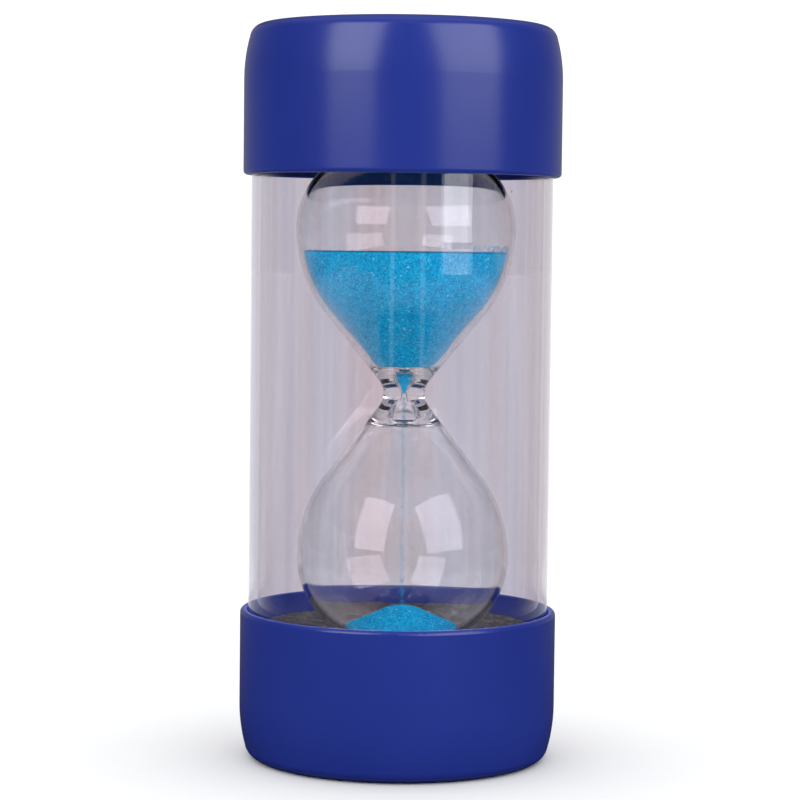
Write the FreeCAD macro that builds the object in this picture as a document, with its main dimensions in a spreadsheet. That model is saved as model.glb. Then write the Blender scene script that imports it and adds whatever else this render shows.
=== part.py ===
"""Parametric sand timer: two moulded caps, a clear guard tube, and a glass vial held in foam.

Millimetres, +Z up, origin at the centre of the bottom cap's flat base.
Both ends are alike, so each end piece is made by one function and turned over for the top.
Every size in a sketch is bound to the spreadsheet named Sizes.
"""

import FreeCAD, Part
import Sketcher
import os
import re

from collections import namedtuple
from FreeCAD import Placement, Rotation, Vector

PARTS_FOLDER = "parts"
FULL_TURN = 360.0
START, END = 1, 2
CENTRE = 3
HORIZONTAL_AXIS, VERTICAL_AXIS = -1, -2
EDGE_MATCH = 1e-3
UP, DOWN = 1, -1
TURNED_OVER = Rotation(Vector(1, 0, 0), 180)

DRIVING_SIZES = {
    # overall and caps
    "total_height": 162.0,
    "cap_radius": 35.1,
    "cap_height": 33.0,
    "cap_shoulder_height": 12.0,
    "cap_shoulder_radius": 36.0,
    "cap_corner_round": 3.2,
    "cap_lip_outer_round": 0.9,
    "cap_lip_inner_round": 0.4,
    "cap_socket_radius": 33.6,
    "cap_ledge_height": 9.0,
    "cap_well_radius": 31.3,
    "cap_floor": 3.0,
    # guard tube and the glue that fills the foot of its socket
    "tube_outer_radius": 33.3,
    "tube_inner_radius": 31.3,
    "glue_height": 10.0,
    # foam, measured from the base of its own cap
    "foam_radius": 31.1,
    "foam_pad_top": 17.0,
    "foam_ring_top": 29.0,
    "foam_hole_radius": 9.5,
    "foam_gap": 0.1,
    # glass vial, measured from its waist at half the timer's height
    "vial_side_offset": 0.9,
    "glass_wall": 1.1,
    "waist_radius": 4.6,
    "waist_fillet": 4.7,
    "flare_radius": 30.0,
    "equator_height": 36.5,
    "crown_radius": 27.8,
    "bulb_half_height": 56.7,
    "upper_bulb_radius": 24.3,
    "lower_bulb_radius": 23.5,
    "orifice_radius": 0.45,
    "orifice_half_length": 0.8,
    "funnel_radius": 2.1,
    "funnel_height": 5.9,
    "shelf_radius": 5.8,
    "shelf_height": 6.2,
    # stopper in the filling hole at the upper bulb's end
    "fill_hole_radius": 4.0,
    "plug_seat_drop": 0.25,
    "plug_tip_radius": 3.7,
    "plug_shank_radius": 3.95,
    "plug_shank_length": 5.0,
    "plug_head_radius": 6.0,
    "plug_head_thickness": 1.6,
    # sand, measured from the vial's waist
    "sand_gap": 0.1,
    "sand_level": 31.3,
    "crater_radius": 13.0,
    "crater_depth": 6.0,
    "pile_apex_depth": 47.55,
    "pile_crown_radius": 10.6,
    "pile_crown_width": 4.6,
    "pile_foot_radius": 12.5,
    "stream_radius": 0.3,
}


def write_sheet(doc):
    """Put the driving sizes in a spreadsheet, one row each, with the name as the alias."""
    sheet = doc.addObject("Spreadsheet::Sheet", "Sizes")
    for row, (name, value) in enumerate(DRIVING_SIZES.items(), start=1):
        sheet.set(f"A{row}", name)
        sheet.set(f"B{row}", str(value))
        sheet.setAlias(f"B{row}", name)
    doc.recompute()


def bound(formula):
    """Formula of plain size names, such as 'cap_radius - foam_gap', as the sheet's aliases."""
    return re.sub(r"[a-z]\w*", lambda name: f"Sizes.{name.group()}", formula)


def value_of(doc, formula):
    """Present value of a formula of size names."""
    return float(doc.Sizes.evalExpression(bound(formula)))


# One edge of an outline, with the sketch's own numbers for its first and last end
Edge = namedtuple("Edge", "index first last")


class Outline:
    """Closed outline in a body's upright plane: x is the distance from the axis, y the height.

    Its edges are drawn in order. Each starts near its place, and constraints bound to the
    sheet bring it home.
    """

    def __init__(self, body, name):
        self.body = body
        self.doc = body.Document
        self.sketch = body.newObject("Sketcher::SketchObject", name)
        plane = next(item for item in body.Origin.OriginFeatures if item.Role == "XZ_Plane")
        self.sketch.AttachmentSupport = [(plane, "")]
        self.sketch.MapMode = "FlatFace"

    def point(self, x_formula, y_formula):
        """Sketch point at two formulas."""
        return Vector(value_of(self.doc, x_formula), value_of(self.doc, y_formula), 0)

    def constrain(self, *terms):
        """Add a constraint that has no size."""
        self.sketch.addConstraint(Sketcher.Constraint(*terms))

    def bind(self, kind, *where, formula):
        """Add a dimension and tie it to the sheet."""
        size = value_of(self.doc, formula)
        index = self.sketch.addConstraint(Sketcher.Constraint(kind, *where, size))
        self.sketch.setExpression(f"Constraints[{index}]", bound(formula))

    def pin(self, edge, end, x=None, y=None):
        """Fix a point of an edge at formulas for its distance from the axis and its height."""
        for formula, kind, axis in ((x, "DistanceX", VERTICAL_AXIS),
                                    (y, "DistanceY", HORIZONTAL_AXIS)):
            if formula == "0":
                self.constrain("PointOnObject", edge.index, end, axis)
            elif formula is not None:
                self.bind(kind, edge.index, end, formula=formula)

    def join(self, first, second):
        """Bring the last end of one edge and the first end of the next together."""
        self.constrain("Coincident", first.index, first.last, second.index, second.first)

    def flow(self, first, second):
        """Join two edges with no corner between them."""
        self.constrain("Tangent", first.index, first.last, second.index, second.first)

    def line(self, start, end):
        """Straight edge between two sketch points."""
        index = self.sketch.addGeometry(Part.LineSegment(start, end), False)
        return Edge(index, START, END)

    def arc(self, centre, start, end):
        """Arc about a centre, the short way round from the direction of start to that of end."""
        circle = Part.Circle(centre, Vector(0, 0, 1), (start - centre).Length)
        leftward = (start - centre).cross(end - centre).z > 0
        ends = (start, end) if leftward else (end, start)
        turn = Part.ArcOfCircle(circle, *(circle.parameter(at) for at in ends))
        index = self.sketch.addGeometry(turn, False)
        return Edge(index, START, END) if leftward else Edge(index, END, START)

    def chain(self, corners):
        """Straight edges through corners, each pinned at its (x, y) formulas."""
        points = [self.point(*corner) for corner in corners]
        edges = [self.line(here, there) for here, there in zip(points, points[1:])]
        for edge, corner in zip(edges, corners):
            self.pin(edge, edge.first, *corner)
        self.pin(edges[-1], edges[-1].last, *corners[-1])
        for edge, following in zip(edges, edges[1:]):
            self.join(edge, following)
        return edges

    def closed_chain(self, corners):
        """Straight-sided outline through pinned corners and back to the first."""
        points = [self.point(*corner) for corner in corners]
        edges = [self.line(here, there) for here, there in zip(points, points[1:] + points[:1])]
        for edge, corner in zip(edges, corners):
            self.pin(edge, edge.first, *corner)
        for edge, following in zip(edges, edges[1:] + edges[:1]):
            self.join(edge, following)
        return edges

    def turned(self, kind="PartDesign::Revolution"):
        """Turn the outline right round the upright axis, to add it or to cut it away."""
        feature = self.body.newObject(kind, f"{self.sketch.Name}_turned")
        feature.Profile = self.sketch
        feature.ReferenceAxis = (self.sketch, ["V_Axis"])
        feature.Angle = FULL_TURN
        return feature


def add_body(doc, label):
    """New body whose label names its file."""
    body = doc.addObject("PartDesign::Body", label)
    body.Label = label
    return body


def turn_over(body):
    """Stand an end piece upside down at the top of the timer."""
    body.Placement = Placement(Vector(0, 0, 0), TURNED_OVER)
    body.setExpression("Placement.Base.z", bound("total_height"))


def centre_on_vial(body):
    """Place a piece that is drawn from the vial's waist."""
    body.setExpression("Placement.Base.x", bound("vial_side_offset"))
    body.setExpression("Placement.Base.z", bound("total_height / 2"))


# ---------------------------------------------------------------- caps, tube and glue

def round_edges(body, feature, name, radius, height, size):
    """Round the circular edge that has this radius and height."""
    doc = body.Document
    doc.recompute()
    wanted_radius = value_of(doc, radius)
    wanted_height = value_of(doc, height)
    names = []
    for number, edge in enumerate(feature.Shape.Edges, start=1):
        circular = isinstance(edge.Curve, Part.Circle)
        if not circular or abs(edge.Curve.Center.z - wanted_height) > EDGE_MATCH:
            continue
        if abs(edge.Curve.Radius - wanted_radius) < EDGE_MATCH:
            names.append(f"Edge{number}")
    fillet = body.newObject("PartDesign::Fillet", name)
    fillet.Base = (feature, names)
    fillet.setExpression("Radius", bound(size))
    return fillet


def build_cap(doc, label):
    """Moulded cup: flat base, bowed shoulder, upright wall, and a socket that ends on a ledge."""
    body = add_body(doc, label)
    outline = Outline(body, f"{label}_section")
    shoulder_foot = "cap_shoulder_radius ^ 2 - cap_shoulder_height ^ 2"
    base_radius = f"cap_radius - cap_shoulder_radius + ({shoulder_foot}) ^ 0.5"
    walls = outline.chain([
        ("cap_radius", "cap_shoulder_height"),
        ("cap_radius", "cap_height"),
        ("cap_socket_radius", "cap_height"),
        ("cap_socket_radius", "cap_ledge_height"),
        ("cap_well_radius", "cap_ledge_height"),
        ("cap_well_radius", "cap_floor"),
        ("0", "cap_floor"),
        ("0", "0"),
        (base_radius, "0"),
    ])
    shoulder = outline.arc(
        outline.point("cap_radius - cap_shoulder_radius", "cap_shoulder_height"),
        outline.point(base_radius, "0"),
        outline.point("cap_radius", "cap_shoulder_height"))
    outline.join(walls[-1], shoulder)
    outline.join(shoulder, walls[0])
    outline.bind("Radius", shoulder.index, formula="cap_shoulder_radius")
    cup = outline.turned()
    cup = round_edges(body, cup, f"{label}_base_round", base_radius, "0", "cap_corner_round")
    cup = round_edges(
        body, cup, f"{label}_lip_outside", "cap_radius", "cap_height", "cap_lip_outer_round")
    round_edges(
        body, cup, f"{label}_lip_inside", "cap_socket_radius", "cap_height",
        "cap_lip_inner_round")
    return body


def build_clear_tube(doc):
    """Plain guard tube that stands on the ledges of the two caps."""
    body = add_body(doc, "clear_tube")
    outline = Outline(body, "clear_tube_section")
    outline.closed_chain([
        ("tube_inner_radius", "cap_ledge_height"),
        ("tube_outer_radius", "cap_ledge_height"),
        ("tube_outer_radius", "total_height - cap_ledge_height"),
        ("tube_inner_radius", "total_height - cap_ledge_height"),
    ])
    outline.turned()
    return body


def build_glue_ring(doc, label):
    """Ring of adhesive between the tube and the foot of its socket."""
    body = add_body(doc, label)
    outline = Outline(body, f"{label}_section")
    outline.closed_chain([
        ("tube_outer_radius", "cap_ledge_height"),
        ("cap_socket_radius", "cap_ledge_height"),
        ("cap_socket_radius", "cap_ledge_height + glue_height"),
        ("tube_outer_radius", "cap_ledge_height + glue_height"),
    ])
    outline.turned()
    return body


# ---------------------------------------------------------------- foam

def build_foam_pad(doc, label):
    """Round foam cushion on the cap's floor."""
    body = add_body(doc, label)
    outline = Outline(body, f"{label}_section")
    outline.closed_chain([
        ("0", "cap_floor"),
        ("foam_radius", "cap_floor"),
        ("foam_radius", "foam_pad_top"),
        ("0", "foam_pad_top"),
    ])
    outline.turned()
    return body


def build_foam_ring(doc, label):
    """Foam ring with a hole, dished where the end of the bulb presses into it."""
    body = add_body(doc, label)
    disc = Outline(body, f"{label}_disc")
    disc.closed_chain([
        ("0", "foam_pad_top"),
        ("foam_radius", "foam_pad_top"),
        ("foam_radius", "foam_ring_top"),
        ("0", "foam_ring_top"),
    ])
    disc.turned()
    doc.recompute()
    solid_volume = body.Shape.Volume
    cut_dished_hole(body, label)
    doc.recompute()
    if body.Shape.Volume >= solid_volume:
        raise RuntimeError(f"{label}: the hole cut nothing away")
    return body


def cut_dished_hole(body, label):
    """Cut the hole and the seat, which follows the bulb's crown, about the vial's own axis."""
    hole = Outline(body, f"{label}_hole")
    hole.sketch.setExpression("AttachmentOffset.Base.x", bound("vial_side_offset"))
    seat_centre_height = "total_height / 2 - bulb_half_height + crown_radius"
    seat_radius = "crown_radius + foam_gap"
    rise = f"({seat_centre_height} - foam_ring_top)"
    mouth_radius = f"(({seat_radius}) ^ 2 - {rise} ^ 2) ^ 0.5"
    drop = f"(({seat_radius}) ^ 2 - foam_hole_radius ^ 2) ^ 0.5"
    seat_foot_height = f"{seat_centre_height} - {drop}"
    sides = hole.chain([
        (mouth_radius, "foam_ring_top"),
        ("0", "foam_ring_top"),
        ("0", "foam_pad_top"),
        ("foam_hole_radius", "foam_pad_top"),
        ("foam_hole_radius", seat_foot_height),
    ])
    seat = hole.arc(
        hole.point("0", seat_centre_height),
        hole.point("foam_hole_radius", seat_foot_height),
        hole.point(mouth_radius, "foam_ring_top"))
    hole.join(sides[-1], seat)
    hole.join(seat, sides[0])
    hole.bind("Radius", seat.index, formula=seat_radius)
    hole.turned("PartDesign::Groove")


# ---------------------------------------------------------------- glass vial and its stopper

def signed(side, formula):
    """Height formula above or below the waist."""
    return formula if side == UP else f"-({formula})"


def draw_bulb(outline, side, bulb_radius, inset):
    """Wall of one bulb from its far end to the tail of its flare, set in from the outside.

    Three arcs flow into each other: a crown centred on the axis, a haunch that reaches the
    widest point level with its own centre, and the flare that leads down to the neck.
    """
    wall_radius = f"{bulb_radius} - ({inset})"
    equator_height = signed(side, "equator_height")
    crown_centre_height = signed(side, "bulb_half_height - crown_radius")
    crown_centre = outline.point("0", crown_centre_height)
    equator = outline.point(wall_radius, equator_height)
    crown_radius = value_of(outline.doc, f"crown_radius - ({inset})")
    rise = abs(equator.y - crown_centre.y)
    haunch_radius = (crown_radius ** 2 - equator.x ** 2 - rise ** 2) / (
        2 * (crown_radius - equator.x))
    haunch_centre = equator - Vector(haunch_radius, 0, 0)
    lean = (haunch_centre - crown_centre).normalize()
    handover = crown_centre + lean * crown_radius
    pole = crown_centre + Vector(0, side * crown_radius, 0)
    flare_centre = outline.point(f"{bulb_radius} - flare_radius", equator_height)
    flare_tail = (equator + outline.point("waist_radius", "0")) * 0.5

    crown = outline.arc(crown_centre, pole, handover)
    haunch = outline.arc(haunch_centre, handover, equator)
    flare = outline.arc(flare_centre, equator, flare_tail)
    outline.pin(crown, CENTRE, "0", crown_centre_height)
    outline.bind("Radius", crown.index, formula=f"crown_radius - ({inset})")
    outline.flow(crown, haunch)
    outline.pin(haunch, haunch.last, wall_radius, equator_height)
    outline.pin(haunch, CENTRE, y=equator_height)
    outline.join(haunch, flare)
    outline.pin(flare, CENTRE, y=equator_height)
    outline.bind("Radius", flare.index, formula=f"flare_radius - ({inset})")
    return crown, flare


def reverse(edge):
    """The same edge, followed the other way."""
    return Edge(edge.index, edge.last, edge.first)


def draw_neck_outside(outline, upper_flare, lower_flare):
    """Two straight cones that flow from the flares into a waist fillet round the orifice."""
    centre = outline.point("waist_radius + waist_fillet", "0")
    reach = value_of(outline.doc, "waist_fillet")
    start = centre + Vector(-reach, reach, 0)
    end = centre + Vector(-reach, -reach, 0)
    waist = outline.arc(centre, start, end)
    outline.pin(waist, CENTRE, "waist_radius + waist_fillet", "0")
    outline.bind("Radius", waist.index, formula="waist_fillet")
    upper_cone = outline.line(start * 2, start)
    lower_cone = outline.line(end * 2, end)
    outline.flow(upper_flare, upper_cone)
    outline.flow(upper_cone, waist)
    outline.flow(lower_flare, lower_cone)
    outline.flow(lower_cone, reverse(waist))


def draw_neck_inside(outline, upper_flare, lower_flare):
    """Cones down to a small shelf of thick glass, then a funnel each side of the orifice."""
    upper_corners = [
        ("shelf_radius", "shelf_height"),
        ("funnel_radius", "funnel_height"),
        ("orifice_radius", "orifice_half_length"),
    ]
    lower_corners = [(x, signed(DOWN, y)) for x, y in reversed(upper_corners)]
    bore = outline.chain(upper_corners + lower_corners)
    for flare, side, shelf in ((upper_flare, UP, bore[0]), (lower_flare, DOWN, reverse(bore[-1]))):
        lip = outline.point("shelf_radius", signed(side, "shelf_height"))
        cone = outline.line(lip * 2, lip)
        outline.flow(flare, cone)
        outline.join(cone, shelf)


def build_glass_vial(doc):
    """One-piece glass: two bulbs, a thick waist with a fine orifice, and a filling hole on top."""
    body = add_body(doc, "glass_vial")
    outline = Outline(body, "glass_vial_section")
    upper_crown, upper_flare = draw_bulb(outline, UP, "upper_bulb_radius", "0")
    lower_crown, lower_flare = draw_bulb(outline, DOWN, "lower_bulb_radius", "0")
    draw_neck_outside(outline, upper_flare, lower_flare)
    upper_lining, upper_throat = draw_bulb(outline, UP, "upper_bulb_radius", "glass_wall")
    lower_lining, lower_throat = draw_bulb(outline, DOWN, "lower_bulb_radius", "glass_wall")
    draw_neck_inside(outline, upper_throat, lower_throat)
    for side, outside, inside, end_radius in (
            (UP, upper_crown, upper_lining, "fill_hole_radius"),
            (DOWN, lower_crown, lower_lining, "0")):
        outline.pin(outside, outside.first, end_radius)
        outline.pin(inside, inside.first, end_radius)
        rim = outline.line(
            outline.point(end_radius, signed(side, "bulb_half_height")),
            outline.point(end_radius, signed(side, "bulb_half_height - glass_wall")))
        outline.join(reverse(outside), rim)
        outline.join(rim, inside)
    outline.turned()
    centre_on_vial(body)
    return body


def build_fill_plug(doc):
    """Tapered stopper with a flat head, pushed into the filling hole."""
    body = add_body(doc, "fill_plug")
    outline = Outline(body, "fill_plug_section")
    seat_height = "bulb_half_height - plug_seat_drop"
    outline.closed_chain([
        ("0", f"{seat_height} - plug_shank_length"),
        ("plug_tip_radius", f"{seat_height} - plug_shank_length"),
        ("plug_shank_radius", seat_height),
        ("plug_head_radius", seat_height),
        ("plug_head_radius", f"{seat_height} + plug_head_thickness"),
        ("0", f"{seat_height} + plug_head_thickness"),
    ])
    outline.turned()
    centre_on_vial(body)
    return body


# ---------------------------------------------------------------- sand

def build_upper_sand(doc):
    """Sand above the orifice: level round the wall, with a crater where it runs out."""
    body = add_body(doc, "upper_sand")
    outline = Outline(body, "upper_sand_section")
    inset = "glass_wall + sand_gap"
    core = outline.chain([
        ("shelf_radius - sand_gap", "shelf_height + sand_gap"),
        ("funnel_radius - sand_gap", "funnel_height + sand_gap"),
        ("orifice_radius - sand_gap", "orifice_half_length"),
        ("orifice_radius - sand_gap", "-orifice_half_length"),
        ("0", "-orifice_half_length"),
        ("0", "sand_level - crater_depth"),
        ("crater_radius", "sand_level"),
    ])
    centre = outline.point("upper_bulb_radius - flare_radius", "equator_height")
    shore = outline.point(f"upper_bulb_radius - ({inset})", "sand_level")
    lip = outline.point("shelf_radius - sand_gap", "shelf_height + sand_gap")
    wall = outline.arc(centre, shore, (shore + lip) * 0.5)
    outline.pin(wall, CENTRE, "upper_bulb_radius - flare_radius", "equator_height")
    outline.bind("Radius", wall.index, formula=f"flare_radius - ({inset})")
    outline.pin(wall, wall.first, y="sand_level")
    level = outline.line(outline.point("crater_radius", "sand_level"), shore)
    cone = outline.line((shore + lip) * 0.5, lip)
    outline.join(core[-1], level)
    outline.join(level, wall)
    outline.flow(wall, cone)
    outline.join(cone, core[0])
    outline.turned()
    centre_on_vial(body)
    return body


def build_lower_sand(doc):
    """Low heap with a rounded top on the crown of the lower bulb."""
    body = add_body(doc, "lower_sand")
    outline = Outline(body, "lower_sand_section")
    inset = "glass_wall + sand_gap"
    crown_centre_height = "crown_radius - bulb_half_height"
    crown_centre = outline.point("0", crown_centre_height)
    pole = outline.point("0", f"{inset} - bulb_half_height")
    foot = crown_centre + outline.point("pile_foot_radius", "pile_foot_radius - crown_radius")
    bed = outline.arc(crown_centre, pole, foot)
    outline.pin(bed, CENTRE, "0", crown_centre_height)
    outline.bind("Radius", bed.index, formula=f"crown_radius - ({inset})")
    outline.pin(bed, bed.first, "0")
    outline.pin(bed, bed.last, "pile_foot_radius")

    peak_centre_height = "-(pile_apex_depth + pile_crown_radius)"
    peak_centre = outline.point("0", peak_centre_height)
    apex = outline.point("0", "-pile_apex_depth")
    brow = peak_centre + outline.point("pile_crown_width", "pile_crown_radius")
    peak = outline.arc(peak_centre, apex, brow)
    outline.pin(peak, CENTRE, "0", peak_centre_height)
    outline.bind("Radius", peak.index, formula="pile_crown_radius")
    outline.pin(peak, peak.first, "0")
    outline.pin(peak, peak.last, "pile_crown_width")

    flank = outline.line(brow, foot)
    core = outline.line(pole, apex)
    outline.join(peak, flank)
    outline.join(flank, reverse(bed))
    outline.join(reverse(bed), core)
    outline.join(core, peak)
    outline.turned()
    centre_on_vial(body)
    return body


def build_sand_stream(doc):
    """Thread of falling sand from the orifice to the top of the heap."""
    stream = doc.addObject("Part::Cylinder", "sand_stream")
    stream.Label = "sand_stream"
    stream.setExpression("Radius", bound("stream_radius"))
    stream.setExpression("Height", bound("pile_apex_depth - orifice_half_length"))
    stream.setExpression("Placement.Base.x", bound("vial_side_offset"))
    stream.setExpression("Placement.Base.z", bound("total_height / 2 - pile_apex_depth"))
    return stream


# ---------------------------------------------------------------- the whole timer

def build_end_pieces(doc):
    """The pieces that both ends have, those at the top turned over."""
    pieces = []
    for build, bottom_label, top_label in (
            (build_cap, "bottom_cap", "top_cap"),
            (build_glue_ring, "glue_ring_bottom", "glue_ring_top"),
            (build_foam_pad, "foam_pad_bottom", "foam_pad_top"),
            (build_foam_ring, "foam_ring_bottom", "foam_ring_top")):
        pieces.append(build(doc, bottom_label))
        upper = build(doc, top_label)
        turn_over(upper)
        pieces.append(upper)
    return pieces


def check_document(doc, pieces):
    """Stop if a feature failed, a sketch is loose, or a piece isn't one valid solid."""
    for item in doc.Objects:
        if "Invalid" in item.State or "Error" in item.State:
            raise RuntimeError(f"{item.Label} failed to build: {item.State}")
        if item.isDerivedFrom("Sketcher::SketchObject") and not item.FullyConstrained:
            raise RuntimeError(f"{item.Label} isn't fully constrained")
    for piece in pieces:
        shape = piece.Shape
        if shape.isNull() or not shape.isValid() or len(shape.Solids) != 1:
            raise RuntimeError(f"{piece.Label} isn't one valid solid")


def export_parts(pieces):
    """Write each piece to a file of its own, named after its label."""
    os.makedirs(PARTS_FOLDER, exist_ok=True)
    for piece in pieces:
        piece.Shape.exportStep(os.path.join(PARTS_FOLDER, f"{piece.Label}.step"))
        box = piece.Shape.BoundBox
        print(f"{piece.Label}: {piece.Shape.Volume:.1f} mm3, "
              f"z {box.ZMin:.2f} to {box.ZMax:.2f}, width {box.XLength:.2f}")


def main():
    """Build the timer and write its pieces."""
    doc = FreeCAD.newDocument("sand_timer")
    write_sheet(doc)
    pieces = build_end_pieces(doc)
    pieces += [
        build_clear_tube(doc),
        build_glass_vial(doc),
        build_fill_plug(doc),
        build_upper_sand(doc),
        build_lower_sand(doc),
        build_sand_stream(doc),
    ]
    doc.recompute()
    check_document(doc, pieces)
    export_parts(pieces)


main()
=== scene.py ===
"""Looks of a large sand timer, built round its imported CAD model. Metres, +Z up, the CAD frame."""

import math
import random

import bpy
from mathutils import Matrix, Vector, noise


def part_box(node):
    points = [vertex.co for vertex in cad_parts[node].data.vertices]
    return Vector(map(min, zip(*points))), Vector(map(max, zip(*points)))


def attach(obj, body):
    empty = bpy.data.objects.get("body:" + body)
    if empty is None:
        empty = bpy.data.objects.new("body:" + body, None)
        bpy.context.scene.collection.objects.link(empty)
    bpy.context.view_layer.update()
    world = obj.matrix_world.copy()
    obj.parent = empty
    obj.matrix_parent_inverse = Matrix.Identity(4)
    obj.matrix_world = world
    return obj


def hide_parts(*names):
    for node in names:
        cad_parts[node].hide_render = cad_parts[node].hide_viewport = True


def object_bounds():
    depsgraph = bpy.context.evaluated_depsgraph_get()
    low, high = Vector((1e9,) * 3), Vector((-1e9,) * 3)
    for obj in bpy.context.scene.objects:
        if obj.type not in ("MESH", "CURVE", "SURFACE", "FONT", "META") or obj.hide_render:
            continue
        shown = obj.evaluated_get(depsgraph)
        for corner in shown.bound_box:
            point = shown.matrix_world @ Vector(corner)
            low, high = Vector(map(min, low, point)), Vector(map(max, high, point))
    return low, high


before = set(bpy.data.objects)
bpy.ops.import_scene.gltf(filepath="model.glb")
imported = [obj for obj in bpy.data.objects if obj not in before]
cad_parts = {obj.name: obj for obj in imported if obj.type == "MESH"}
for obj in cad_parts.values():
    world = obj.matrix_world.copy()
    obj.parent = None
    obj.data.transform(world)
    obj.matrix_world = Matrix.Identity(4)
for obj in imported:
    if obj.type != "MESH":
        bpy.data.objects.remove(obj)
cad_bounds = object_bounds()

MM = 0.001


# ---------------------------------------------------------------- places read from the frame

def node_bottom(name):
    """Lowest height of a CAD node."""
    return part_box(name)[0].z


def node_top(name):
    """Highest height of a CAD node."""
    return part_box(name)[1].z


def node_radius(name):
    """Half the width of a round CAD node."""
    low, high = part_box(name)
    return (high.x - low.x) / 2


def node_axis(name):
    """How far to the right the axis of a round CAD node stands."""
    low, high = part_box(name)
    return (high.x + low.x) / 2


TOTAL_HEIGHT = cad_bounds[1].z
VIAL_AXIS = node_axis("glass_vial")
ORIFICE_HALF_LENGTH = 0.8 * MM
WAIST_HEIGHT = node_top("sand_stream") + ORIFICE_HALF_LENGTH
SAND_LEVEL = node_top("upper_sand")
PILE_APEX = node_top("lower_sand")


# ---------------------------------------------------------------- camera and light

WORLD_STRENGTH = 1.135
FLOOR_REACH = 8.0

# Each row is a light: name, azimuth in degrees (0 is in front of the timer, plus is right),
# height it stands at, width, tallness and radiance.
SOFTBOXES = [
    ("softbox_right", 49, 0.6, 0.95, 0.9, 4.5),
    ("softbox_left", -37, 0.62, 0.72, 0.9, 5.2)]
STRIPS = [
    ("strip_light", 42, 0.29, 0.4, 0.36, 3.2),
    ("strip_foot", 42, 0.1025, 0.4, 0.015, 1.5),
    ("gap_left", -7, 0.2, 0.06, 0.34, 0.45),
    ("gap_right", 16, 0.2, 0.06, 0.34, 0.45)]


def add_camera():
    """Long lens in front of the timer, a little above its middle, tipped down and rolled."""
    distance = 575.8 * MM
    height = 115.05 * MM
    pitch = math.radians(3.53)
    roll = math.radians(0.65)
    data = bpy.data.cameras.new("camera")
    data.sensor_width = 36.0
    data.lens = 116.9
    camera = bpy.data.objects.new("camera", data)
    bpy.context.scene.collection.objects.link(camera)
    camera.matrix_world = (
        Matrix.Translation((0, -distance, height))
        @ Matrix.Rotation(math.pi / 2 - pitch, 4, "X")
        @ Matrix.Rotation(roll, 4, "Z"))
    bpy.context.scene.camera = camera


def add_softbox(name, azimuth_degrees, height, width, tall, radiance, lit_pieces):
    """Rectangular light that stands one metre from the axis and is aimed at the waist.

    It is unseen by the camera. It lights what the collection holds or, where the collection only
    leaves pieces out, all the others.
    """
    data = bpy.data.lights.new(name, "AREA")
    data.shape = "RECTANGLE"
    data.size = width
    data.size_y = tall
    data.energy = radiance * math.pi * width * tall
    light = bpy.data.objects.new(name, data)
    bpy.context.scene.collection.objects.link(light)
    azimuth = math.radians(azimuth_degrees)
    light.location = (math.sin(azimuth), -math.cos(azimuth), height)
    aim = Vector((0, 0, WAIST_HEIGHT)) - light.location
    light.rotation_euler = aim.to_track_quat("-Z", "Y").to_euler()
    light.visible_camera = False
    light.light_linking.receiver_collection = lit_pieces


def add_world():
    """White surroundings; reflections see a room that is dark in front of the timer.

    Its back wall and ceiling are dim in a satin surface and bright in a clear one.
    """
    world = bpy.data.worlds.new("studio")
    world.use_nodes = True
    world.cycles.sampling_method = "NONE"
    bpy.context.scene.world = world
    nodes = Nodes(tree=world.node_tree, output="ShaderNodeOutputWorld")
    white = nodes.add("ShaderNodeBackground")
    white.inputs["Color"].default_value = (1, 1, 1, 1)
    white.inputs["Strength"].default_value = WORLD_STRENGTH
    room = nodes.add("ShaderNodeBackground")
    direction = nodes.add("ShaderNodeTexCoord")
    split = nodes.add("ShaderNodeSeparateXYZ")
    nodes.link(direction.outputs["Generated"], split.inputs["Vector"])
    path = nodes.add("ShaderNodeLightPath")
    backwards, upwards = split.outputs["Y"], split.outputs["Z"]
    dim_wall = nodes.level(backwards, 0.2, 1.0, out_low=0.01, out_high=0.32)
    dim_ceiling = nodes.level(upwards, 0.6, 0.95, out_high=0.6)
    satin = nodes.maths("MAXIMUM", dim_wall, dim_ceiling)
    bright_wall = nodes.level(backwards, 0.3, 1.0)
    bright_ceiling = nodes.level(upwards, 0.2, 0.6, out_high=1.3)
    clear = nodes.maths("MAXIMUM", bright_wall, bright_ceiling)
    clear = nodes.maths("MAXIMUM", clear, nodes.front_glow(path))
    bright = nodes.blend(nodes.sharp_ray(path), satin, clear)
    nodes.link(bright, room.inputs["Color"])
    mirrored = nodes.maths("SUBTRACT", nodes.mirrored(path), path.outputs["Is Diffuse Ray"])
    nodes.mixed(mirrored, white.outputs["Background"], room.outputs["Background"])


def add_floor():
    """Wide flat floor; returns it."""
    quarters = [(-1, -1), (1, -1), (1, 1), (-1, 1)]
    corners = [(FLOOR_REACH * x, FLOOR_REACH * y, 0) for x, y in quarters]
    floor = new_object("floor", corners, [(0, 1, 2, 3)], floor_material(), smooth=False)
    return floor


def add_softboxes(floor, tube):
    """Two tall softboxes, which spare the evenly lit floor, and strips seen in the tube only."""
    all_but_floor = bpy.data.collections.new("all_but_floor")
    all_but_floor.objects.link(floor)
    all_but_floor.collection_objects[0].light_linking.link_state = "EXCLUDE"
    for row in SOFTBOXES:
        add_softbox(*row, all_but_floor)
    only_tube = bpy.data.collections.new("only_tube")
    only_tube.objects.link(tube)
    for row in STRIPS:
        add_softbox(*row, only_tube)


# ---------------------------------------------------------------- mesh helpers

# Steps are the faces round a turned shape. A value that ends in RUN, further down, is the longest
# stretch of an outline between two rings of vertices.
ROUND_STEPS = 288
ON_AXIS = 1e-6


def new_object(name, vertices, faces, material, smooth=True):
    """Mesh object in the scene with one material."""
    mesh = bpy.data.meshes.new(name)
    mesh.from_pydata(vertices, [], faces)
    mesh.update()
    if smooth:
        mesh.shade_smooth()
    mesh.materials.append(material)
    piece = bpy.data.objects.new(name, mesh)
    bpy.context.scene.collection.objects.link(piece)
    return piece


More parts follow.
